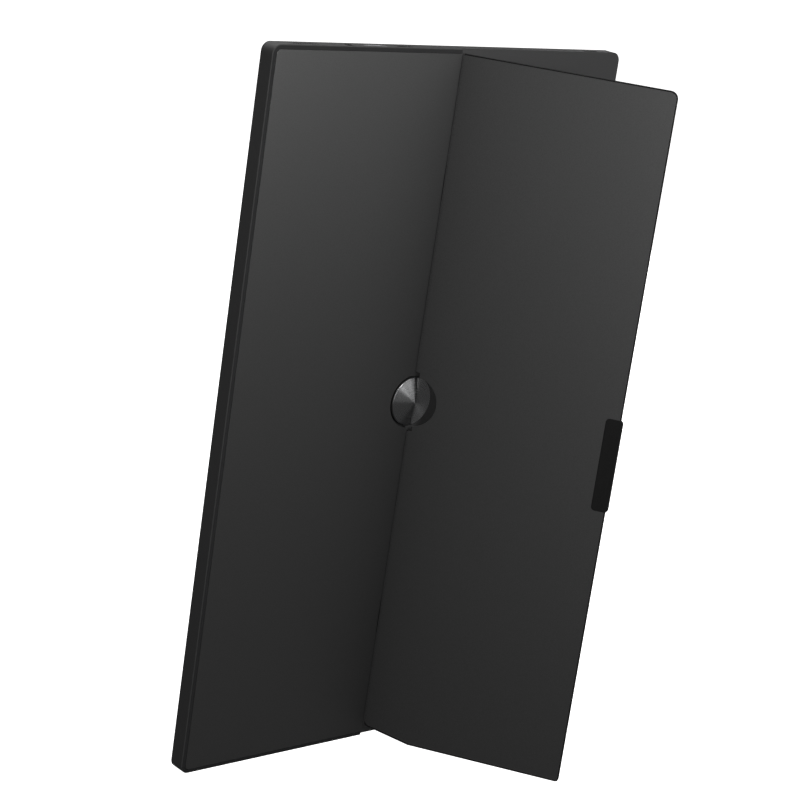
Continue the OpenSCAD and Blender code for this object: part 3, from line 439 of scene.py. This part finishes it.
JOINT_PAINTED_SHADE = make_painted_joint_shade()
SATIN_GRAIN = make_satin_grain()
MOULDED_SKIN = make_moulded_skin()
TURNED_RINGS = make_turned_rings()
DRAWN_LINES = make_drawn_lines()


# ---------- finishes ----------

FINISHES = {}


def add_finish(name, group, settings, colour, rough, metal=0.0, relief=0.02 * MM, centre=None,
               lathe=False, **shader):
    """Adds a finish: one shared effect that varies a colour, a roughness and a surface relief.

    A lathe finish has its rings about the centre; shader holds the surface's other values."""
    material = bpy.data.materials.new(name)
    material.use_nodes = True
    tree = material.node_tree
    surface = tree.nodes["Principled BSDF"]
    place = put(tree, "ShaderNodeTexCoord").outputs["Object"]
    if centre is not None:
        place = put(tree, "ShaderNodeMapping", Vector=place, Location=tuple(-c for c in centre)
                    ).outputs["Vector"]
    pattern = tree.nodes.new("ShaderNodeGroup")
    pattern.node_tree = group
    tree.links.new(place, pattern.inputs["Place"])
    for title, value in settings.items():
        pattern.inputs[title].default_value = value
    tint = put(tree, "ShaderNodeMix", {"data_type": "RGBA", "blend_type": "MULTIPLY"})
    tint.inputs["Factor"].default_value = 1.0
    colours = [s for s in tint.inputs if s.type == "RGBA"]
    colours[0].default_value = (*colour, 1)
    tree.links.new(pattern.outputs["Tone"], colours[1])
    tree.links.new(next(s for s in tint.outputs if s.type == "RGBA"), surface.inputs["Base Color"])
    tree.links.new(calc(tree, "MULTIPLY", pattern.outputs["Rough"], rough),
                   surface.inputs["Roughness"])
    bump = put(tree, "ShaderNodeBump", Height=pattern.outputs["Height"], Distance=relief)
    tree.links.new(bump.outputs["Normal"], surface.inputs["Normal"])
    surface.inputs["Metallic"].default_value = metal
    for title, value in shader.items():
        surface.inputs[title.replace("_", " ")].default_value = value
    if lathe:
        tangent = put(tree, "ShaderNodeTangent", {"direction_type": "RADIAL", "axis": "Y"})
        tree.links.new(tangent.outputs["Tangent"], surface.inputs["Tangent"])
    FINISHES[name] = material


add_finish("panel_metal", SATIN_GRAIN, {"Speckle": 0.5, "Clouds": 0.12}, (0.107, 0.107, 0.107),
           0.45, metal=0.95, relief=0.004 * MM)
add_finish("housing_plastic", MOULDED_SKIN, {"Size": 1900.0, "Marks": 0.25},
           (0.0265, 0.0265, 0.0268), 0.55, relief=0.01 * MM)
add_finish("rim_plastic", MOULDED_SKIN, {"Size": 1900.0, "Marks": 0.25}, (0.0115, 0.0117, 0.012),
           0.72, relief=0.01 * MM, Specular_IOR_Level=0.22)
add_finish("grip_rubber", MOULDED_SKIN, {"Size": 1300.0, "Marks": 0.4}, (0.006, 0.006, 0.006), 0.75,
           relief=0.03 * MM, Specular_IOR_Level=0.15)
add_finish("hub_metal", TURNED_RINGS, {"Rings": 6000.0, "Depth": 0.35}, (0.30, 0.302, 0.306), 0.28,
           metal=1.0, relief=0.002 * MM, centre=HUB_AXIS, lathe=True, Anisotropic=0.85,
           Anisotropic_Rotation=0.25)
add_finish("hub_plastic", MOULDED_SKIN, {"Size": 1800.0, "Marks": 0.2}, (0.006, 0.006, 0.006), 0.8,
           relief=0.01 * MM, Specular_IOR_Level=0.2)
add_finish("bezel_plastic", MOULDED_SKIN, {"Size": 1500.0, "Marks": 0.25}, (0.012, 0.012, 0.013),
           0.5, relief=0.015 * MM)
add_finish("screen_glass", SATIN_GRAIN, {"Speckle": 0.15, "Clouds": 0.1}, (0.0045, 0.0045, 0.0055),
           0.3, relief=0.003 * MM, Coat_Weight=0.6, Coat_Roughness=0.18)
add_finish("polariser", SATIN_GRAIN, {"Speckle": 0.25, "Clouds": 0.05}, (0.013, 0.0135, 0.016),
           0.38, relief=0.002 * MM, Coat_Weight=0.35, Coat_Roughness=0.25)
add_finish("optical_film", SATIN_GRAIN, {"Speckle": 0.1, "Clouds": 0.1}, (0.70, 0.71, 0.73), 0.5)
add_finish("light_guide", SATIN_GRAIN, {"Speckle": 0.2, "Clouds": 0.1}, (0.78, 0.82, 0.84), 0.15)
add_finish("reflector", SATIN_GRAIN, {"Speckle": 0.1, "Clouds": 0.1}, (0.85, 0.85, 0.86), 0.35)
add_finish("led", MOULDED_SKIN, {"Size": 1500.0, "Marks": 0.3}, (0.80, 0.70, 0.35), 0.4)
add_finish("board", MOULDED_SKIN, {"Size": 500.0, "Marks": 0.5}, (0.02, 0.10, 0.05), 0.3)
add_finish("flex", MOULDED_SKIN, {"Size": 600.0, "Marks": 0.3}, (0.42, 0.19, 0.05), 0.35)
add_finish("plate_alloy", DRAWN_LINES, {"Depth": 0.3}, (0.50, 0.51, 0.52), 0.35, metal=1.0)
add_finish("plate_steel", DRAWN_LINES, {"Depth": 0.4}, (0.42, 0.43, 0.44), 0.38, metal=1.0)
add_finish("hinge_steel", DRAWN_LINES, {"Fineness": 5000.0, "Depth": 0.4}, (0.035, 0.035, 0.036),
           0.5, metal=0.8)
add_finish("bronze", DRAWN_LINES, {"Depth": 0.4}, (0.45, 0.30, 0.14), 0.35, metal=1.0)
add_finish("socket_steel", DRAWN_LINES, {"Depth": 0.3}, (0.40, 0.405, 0.41), 0.36, metal=1.0)
add_finish("socket_plastic", MOULDED_SKIN, {"Size": 1600.0, "Marks": 0.2}, (0.010, 0.010, 0.010),
           0.5)
add_finish("screw_steel", TURNED_RINGS, {"Rings": 5000.0, "Depth": 0.2}, (0.06, 0.06, 0.065), 0.35,
           metal=0.8)
add_finish("contact_gold", DRAWN_LINES, {"Depth": 0.2}, (0.78, 0.55, 0.22), 0.3, metal=1.0)


def paint_shade_along_joint(material):
    """Lays the painted shade of the joint over the grain of a plate's finish, about the hinge line.
    """
    tree = material.node_tree
    surface = tree.nodes["Principled BSDF"]
    tint = surface.inputs["Base Color"].links[0].from_node
    grain = next(s for s in tint.inputs if s.type == "RGBA" and s.is_linked)
    place = put(tree, "ShaderNodeMapping", Location=tuple(-c for c in HINGE),
                Vector=put(tree, "ShaderNodeTexCoord").outputs["Object"])
    joint = tree.nodes.new("ShaderNodeGroup")
    joint.node_tree = JOINT_PAINTED_SHADE
    tree.links.new(place.outputs["Vector"], joint.inputs["Place"])
    tree.links.new(calc(tree, "MULTIPLY", grain.links[0].from_socket, joint.outputs["Tone"]), grain)


def dress_construction():
    """Gives every node of the construction its slot's finish, and the small black parts theirs."""
    slots = {part["node"]: part["material_slot"] for part in frame["record"]["subparts"]}
    slots |= {"upper_grille": "bezel_plastic", "lower_grille": "bezel_plastic",
              "power_key": "hub_plastic"}
    for name, node in frame["nodes"].items():
        node.data.materials.clear()
        node.data.materials.append(FINISHES[slots[name]])


# ---------- pieces ----------

def panel_outline(bm, inset, depth):
    """Outline of the thick half's cover, drawn in by an inset; it runs on past the joint."""
    x0, x1 = PANEL_LOW.x - PANEL_PAST_JOINT, PANEL_HIGH.x - inset
    z0, z1 = PANEL_LOW.z + inset, PANEL_HIGH.z - inset
    sheet_face(bm, [(x0, z0), (x1, z0), (x1, z1), (x0, z1)], depth)
    for z in (z0, z1):
        round_corner(bm, (x1, z), depth, PANEL_CORNER_R - inset)
    bmesh.ops.recalc_face_normals(bm, faces=bm.faces)
    return bm.faces[:][0]


def end_at_joint(bm):
    """Cuts a cover piece off square beside the joint and closes it there."""
    bmesh.ops.bisect_plane(bm, geom=bm.verts[:] + bm.edges[:] + bm.faces[:], dist=TINY,
                           plane_co=(PANEL_LOW.x, 0, 0), plane_no=(-1, 0, 0), clear_outer=True)
    bmesh.ops.holes_fill(bm, edges=[e for e in bm.edges if e.is_boundary])


def make_panel_rim():
    """Thin-walled cover of the thick half, hollow inside.

    Its wall is straight, then chamfered, then runs as a nearly flat dark band up to the seat of
    the metal plate. The wall and the chamfer are grey, like the housing."""
    bm = bmesh.new()
    foot_at = SLAB_BACK - PANEL_SKIRT
    wall_top = BACK - PANEL_EDGE[1] - PANEL_BAND[1]
    top, = extrude(bm, [panel_outline(bm, -PANEL_SKIRT, foot_at)], wall_top - foot_at)
    draw_in(bm, top, *PANEL_EDGE)
    draw_in(bm, top, *PANEL_BAND)
    draw_in(bm, top, PLATE_EDGE)
    extrude(bm, [top], -PLATE_DEEP - PLATE_FIT)
    bmesh.ops.delete(bm, geom=[top], context="FACES_ONLY")
    end_at_joint(bm)
    hollow = bmesh.new()
    edge = PANEL_BAND[0] + PANEL_WALL
    block(hollow, (PANEL_LOW.x + PANEL_WALL, SLAB_BACK - CUT_PAST, PANEL_LOW.z + edge),
          (PANEL_HIGH.x - edge, BACK - PANEL_SKIN, PANEL_HIGH.z - edge))
    cut_away(bm, [hollow, drum(HUB_AXIS, HUB_PANEL_CUT, SLAB_BACK - CUT_PAST, BACK + CUT_PAST)])
    rim = new_piece("sloping_rim", bm, "body", "housing_plastic", ["fixed_panel"],
                    smooth_below=30, finish="rim_plastic")
    rim.data.materials.append(FINISHES["housing_plastic"])
    middle = (PANEL_LOW + PANEL_HIGH) / 2
    for face in rim.data.polygons:
        outside = face.normal.dot(face.center - middle) > 0
        if outside and face.normal.y < NEARLY_BACK:
            face.material_index = 1


def make_panel_plate():
    """Blasted metal plate of the thick half, let into the rim with a fine groove around it."""
    bm = bmesh.new()
    inset = PANEL_BAND[0] + PLATE_EDGE + PLATE_GROOVE
    extrude(bm, [panel_outline(bm, inset, BACK - PLATE_DEEP)], PLATE_DEEP)
    soften_edges(bm, PLATE_SOFT, keep=above(1, BACK - TOP_BAND))
    end_at_joint(bm)
    cut_away(bm, [drum(HUB_AXIS, HUB_PANEL_CUT, SLAB_BACK, BACK + CUT_PAST)])
    new_piece("blasted_plate", bm, "body", "panel_metal", ["panel_plate"], smooth_below=30)


def make_flap_plate():
    """Metal skin of the flap, with its sloping lower corner and the round cut for the hub."""
    low, high = closed_box("flap_skin")
    bm = bmesh.new()
    cut_w, cut_h = FLAP_CORNER_CUT
    corners = {"foot": (low.x, low.z), "slope": (high.x - cut_w, low.z),
               "hinge_foot": (high.x, low.z + cut_h), "hinge_head": (high.x, high.z),
               "head": (low.x, high.z)}
    sheet_face(bm, list(corners.values()), low.y)
    for title, radius in FLAP_CORNER_R.items():
        round_corner(bm, corners[title], low.y, radius)
    bmesh.ops.recalc_face_normals(bm, faces=bm.faces)
    extrude(bm, bm.faces[:], high.y - low.y)
    notch = bmesh.new()
    notch_w, notch_half = HUB_NOTCH
    block(notch, (high.x - notch_w, low.y - CUT_PAST, HUB_AXIS.z - notch_half),
          (high.x + HUB_NOTCH_PAST, high.y + CUT_PAST, HUB_AXIS.z + notch_half))
    cut_away(bm, [drum(HUB_AXIS, HUB_FLAP_CUT, low.y - CUT_PAST, high.y + CUT_PAST), notch])
    soften_edges(bm, FLAP_SOFT, keep=above(1, high.y - TOP_BAND))
    swing(bm)
    new_piece("flap_plate", bm, "flap", "panel_metal", ["flap_skin"], smooth_below=30)


def make_flap_frame():
    """Moulded frame of the flap: black around the metal skin, and grey on its inner side.

    The narrow strip between the skin and the joint has the skin's own finish."""
    bm = bmesh.new()
    bm.from_mesh(frame["nodes"]["flap_liner"].data)
    bmesh.ops.remove_doubles(bm, verts=bm.verts, dist=2 * TINY)
    bmesh.ops.dissolve_limit(bm, angle_limit=math.radians(1), verts=bm.verts, edges=bm.edges)
    opened = turn_flap(-OPEN_ANGLE)
    outwards, across = opened.to_3x3() @ Y_AXIS, opened.to_3x3() @ X_AXIS
    strip_at = opened @ Vector((closed_box("flap_skin")[1].x, BACK, 0))
    bmesh.ops.bisect_plane(bm, geom=bm.verts[:] + bm.edges[:] + bm.faces[:], dist=TINY,
                           plane_co=strip_at, plane_no=across)
    piece = new_piece("flap_frame", bm, "flap", "hub_plastic", ["flap_liner"], smooth_below=30)
    piece.data.materials.append(FINISHES["housing_plastic"])
    piece.data.materials.append(FINISHES["panel_metal"])
    for face in piece.data.polygons:
        facing = face.normal.dot(outwards)
        if facing < -MOSTLY:
            face.material_index = 1
        elif facing > MOSTLY and (face.center - strip_at).dot(across) > 0:
            face.material_index = 2


def make_active_area():
    """Visible area of the screen cell: a matt polariser with rounded corners."""
    low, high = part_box("lcd_cell")
    middle_x = (low.x + high.x) / 2
    middle_z = (low.z + high.z) / 2
    half_x, half_z = SCREEN_AREA[0] / 2, SCREEN_AREA[1] / 2
    front = low.y - SCREEN_PROUD
    bm = bmesh.new()
    corners = [(middle_x + sx * half_x, middle_z + sz * half_z)
               for sx, sz in ((-1, -1), (1, -1), (1, 1), (-1, 1))]
    sheet_face(bm, corners, front)
    for corner in corners:
        round_corner(bm, corner, front, SCREEN_CORNER_R, segments=4)
    extrude(bm, bm.faces[:], SCREEN_THICK)
    new_piece("active_area", bm, "body", "screen_glass", finish="polariser")


def make_hub_dome():
    """Low turned dome on the hinge line, with a crisp shoulder and a blunt tip."""
    bm = bmesh.new()
    foot, side = BACK - DOME_FOOT, BACK + DOME_SIDE
    edge, shoulder = HUB_R - DOME_SHOULDER, side + DOME_SHOULDER
    profile = [(HUB_R - DOME_LAND, foot), (HUB_R, foot), (HUB_R, side)]
    profile += [(edge + DOME_SHOULDER * math.cos(math.radians(d)),
                 side + DOME_SHOULDER * math.sin(math.radians(d))) for d in DOME_SHOULDER_AT]
    profile += [(edge * (1 - s),
                 shoulder + (HUB_HIGH.y - shoulder) * (1 - (1 - s) ** DOME_CURVE))
                for s in DOME_CURVE_AT]
    turned_profile(bm, profile, HUB_AXIS, steps=ROUND_STEPS)
    bmesh.ops.holes_fill(bm, edges=[e for e in bm.edges if e.is_boundary])
    new_piece("hub_dome", bm, "body", "hub_metal", ["hub_cap"], smooth_below=50,
              even_normals=False)


def make_grip():
    """Rubber grip let into the flap's free edge."""
    bm = bmesh.new()
    block(bm, *closed_box("flap_grip"))
    bmesh.ops.bevel(bm, geom=edges_along(bm, 1), offset=GRIP_CORNER_R, segments=8, profile=0.5,
                    affect="EDGES", material=-1)
    soften_edges(bm, GRIP_SOFT, segments=4, over=50)
    swing(bm)
    new_piece("rubber_grip", bm, "flap", "grip_rubber", ["flap_grip"])


def bar_along_z(low, high, radius, segments=8, only=lambda vert: True):
    """A closed bar whose edges along Z are rounded, or chamfered where one segment is asked."""
    bm = bmesh.new()
    block(bm, low, high)
    bmesh.ops.bevel(bm, geom=[e for e in edges_along(bm, 2) if only(e.verts[0])],
                    offset=radius, offset_type="OFFSET", segments=segments, profile=0.5,
                    affect="EDGES", material=-1)
    return bm


def make_port_collar(name, port, opening, mouth, slot, chamfer=0):
    """Collar that fills the gap between a socket's shell and the opening in the end wall.

    With a chamfer the mouth is cut off at its two corners on the screen's side, else rounded."""
    centre = PORTS[port]
    half_l, half_w = opening[0] / 2 - PORT_CLEAR, opening[1] / 2 - PORT_CLEAR
    top = END_FACE - PORT_BELOW
    bm = bar_along_z((centre.x - half_l, centre.y - half_w, centre.z - COLLAR_DEEP),
                     (centre.x + half_l, centre.y + half_w, top), half_w * NEARLY_ROUND)
    in_l, in_w = mouth[0] / 2, mouth[1] / 2
    low = (centre.x - in_l, centre.y - in_w, centre.z - CUT_PAST)
    high = (centre.x + in_l, centre.y + in_w, top + CUT_PAST)
    if chamfer:
        hollow = bar_along_z(low, high, chamfer, segments=1, only=lambda v: v.co.y < centre.y)
    else:
        hollow = bar_along_z(low, high, in_w * NEARLY_ROUND)
    cut_away(bm, [hollow])
    soften_edges(bm, PORT_SOFT, keep=above(2, top - 10 * TINY))
    new_piece(name, bm, "body", slot, smooth_below=35)


def make_tongue(kind, port, size):
    """Black tongue of a socket, and its row of gold-plated contacts on both sides."""
    centre = PORTS[port]
    tip, root = centre.z - size["tip"] + TONGUE_SKIN, centre.z - TONGUE_ROOT
    half_w = size["wide"] / 2 + TONGUE_SKIN
    faces = centre.y + size["low"] - TONGUE_SKIN, centre.y + size["high"] + TONGUE_SKIN
    tongue = bmesh.new()
    block(tongue, (centre.x - half_w, faces[0], root), (centre.x + half_w, faces[1], tip))
    soften_edges(tongue, PORT_SOFT, over=50)
    new_piece(f"{kind}_tongue", tongue, "body", "socket_plastic")
    contacts = bmesh.new()
    pad = size["pitch"] * CONTACT_SHARE
    for face in faces:
        for number in range(size["pins"]):
            x = centre.x + (number - (size["pins"] - 1) / 2) * size["pitch"]
            block(contacts, (x - pad, face - CONTACT_SKIN, root),
                  (x + pad, face + CONTACT_SKIN, tip - CONTACT_SHORT))
    new_piece(f"{kind}_contacts", contacts, "body", "bronze", finish="contact_gold")


def make_jack_collar():
    """Black collar that the headphone jack's barrel ends in, with a chamfered mouth."""
    bm = bmesh.new()
    profile = [(radius * MM, height * MM) for radius, height in JACK_COLLAR]
    turned_profile(bm, profile + profile[:1], Vector((0, 0, 0)), steps=ROUND_STEPS // 2)
    bmesh.ops.rotate(bm, verts=bm.verts, matrix=Matrix.Rotation(math.radians(90), 3, "X"))
    jack = PORTS["audio_jack"]
    bmesh.ops.translate(bm, verts=bm.verts, vec=(jack.x, jack.y, END_FACE))
    new_piece("jack_collar", bm, "body", "socket_plastic")


# ---------- stage ----------

CAMERA_PLACE = (0.7776, 0.8376, 0.5080)
CAMERA_TURN = (73.907, -8.132, 139.462)
CAMERA_LENS = 106.82

FLOOR_SIZE = 8
FLOOR_GLOW = 1.2
AMBIENT = 0.1
WHITE = (1, 1, 1, 1)

# Square soft lights, as (name, place, aim, side, power)
FLAP_MIDDLE, BODY_MIDDLE = (0, 0.03, 0.18), (0, 0, 0.18)
SOFTBOXES = (
    ("back_wide", (0.644, 1.115, 0.381), FLAP_MIDDLE, 0.9, 3.94),
    ("flap_high", (-0.563, 0.975, 0.85), FLAP_MIDDLE, 0.9, 6.2),
    ("panel_high", (0.975, 0.563, 0.85), FLAP_MIDDLE, 0.9, 1.67),
    ("wall_low", (1.115, -0.644, 0.381), FLAP_MIDDLE, 0.9, 0.6),
    ("front_high", (0, -0.746, 1.265), FLAP_MIDDLE, 0.9, 3.44),
    ("side_high", (0.646, -0.373, 1.265), FLAP_MIDDLE, 0.9, 3.92),
    ("hub_near", (0.066, 0.479, 0.438), FLAP_MIDDLE, 0.12, 1.5),
    ("front_wide", (-0.35, -1.5, 0.75), BODY_MIDDLE, 1.3, 5),
    ("inner_low", (-1.22, -0.44, 0.31), FLAP_MIDDLE, 0.9, 6),
)


def set_camera():
    """Camera above and behind the panel's side, with no shift and no depth of field."""
    data = bpy.data.cameras.new("camera")
    data.lens = CAMERA_LENS
    data.sensor_width = 36
    data.clip_start, data.clip_end = 0.05, 50
    camera = bpy.data.objects.new("camera", data)
    camera.location = CAMERA_PLACE
    camera.rotation_euler = [math.radians(a) for a in CAMERA_TURN]
    bpy.context.scene.collection.objects.link(camera)
    bpy.context.scene.camera = camera


def softbox(name, place, aim, side, power):
    """A square soft light that looks at a point."""
    data = bpy.data.lights.new(name, "AREA")
    data.shape = "SQUARE"
    data.size = side
    data.energy = power
    lamp = bpy.data.objects.new(name, data)
    lamp.location = place
    lamp.rotation_euler = (Vector(aim) - Vector(place)).to_track_quat("-Z", "Y").to_euler()
    lamp.visible_camera = False
    bpy.context.scene.collection.objects.link(lamp)


def set_floor():
    """A plain white floor to stand on; it neither lights the object nor mirrors in it."""
    bm = bmesh.new()
    bmesh.ops.create_grid(bm, x_segments=1, y_segments=1, size=FLOOR_SIZE)
    mesh = bpy.data.meshes.new("floor")
    bm.to_mesh(mesh)
    bm.free()
    floor = bpy.data.objects.new("floor", mesh)
    bpy.context.scene.collection.objects.link(floor)
    paper = bpy.data.materials.new("paper")
    paper.use_nodes = True
    surface = paper.node_tree.nodes["Principled BSDF"]
    surface.inputs["Base Color"].default_value = (0.8, 0.8, 0.8, 1)
    surface.inputs["Roughness"].default_value = 0.9
    surface.inputs["Emission Color"].default_value = WHITE
    surface.inputs["Emission Strength"].default_value = FLOOR_GLOW
    mesh.materials.append(paper)
    floor.visible_diffuse = False
    floor.visible_glossy = False


def set_world():
    """White behind everything for the eye, and a dim even light for the surfaces."""
    world = bpy.data.worlds.new("studio")
    bpy.context.scene.world = world
    world.use_nodes = True
    tree = world.node_tree
    tree.nodes.clear()
    seen = put(tree, "ShaderNodeBackground", Strength=1.0, Color=WHITE)
    lit = put(tree, "ShaderNodeBackground", Strength=AMBIENT, Color=WHITE)
    path = put(tree, "ShaderNodeLightPath")
    both = put(tree, "ShaderNodeMixShader", Fac=path.outputs["Is Camera Ray"])
    tree.links.new(lit.outputs[0], both.inputs[1])
    tree.links.new(seen.outputs[0], both.inputs[2])
    tree.links.new(both.outputs[0], put(tree, "ShaderNodeOutputWorld").inputs["Surface"])


set_camera()
set_world()
set_floor()
for light in SOFTBOXES:
    softbox(*light)
bpy.context.scene.view_settings.view_transform = "Standard"

# Paints shade along the hinge line into the metal plates' colour
paint_shade_along_joint(FINISHES["panel_metal"])
dress_construction()
make_panel_rim()
make_panel_plate()
make_flap_plate()
make_flap_frame()
make_hub_dome()
make_grip()
make_active_area()
make_port_collar("usb_c_collar", "usb_c_port", USB_OPENING, USB_MOUTH, "socket_plastic")
make_port_collar("mini_video_collar", "mini_video_port", VIDEO_OPENING, VIDEO_MOUTH,
                 "socket_steel", chamfer=VIDEO_CHAMFER)
make_tongue("usb_c", "usb_c_port", USB_TONGUE)
make_tongue("mini_video", "mini_video_port", VIDEO_TONGUE)
make_jack_collar()
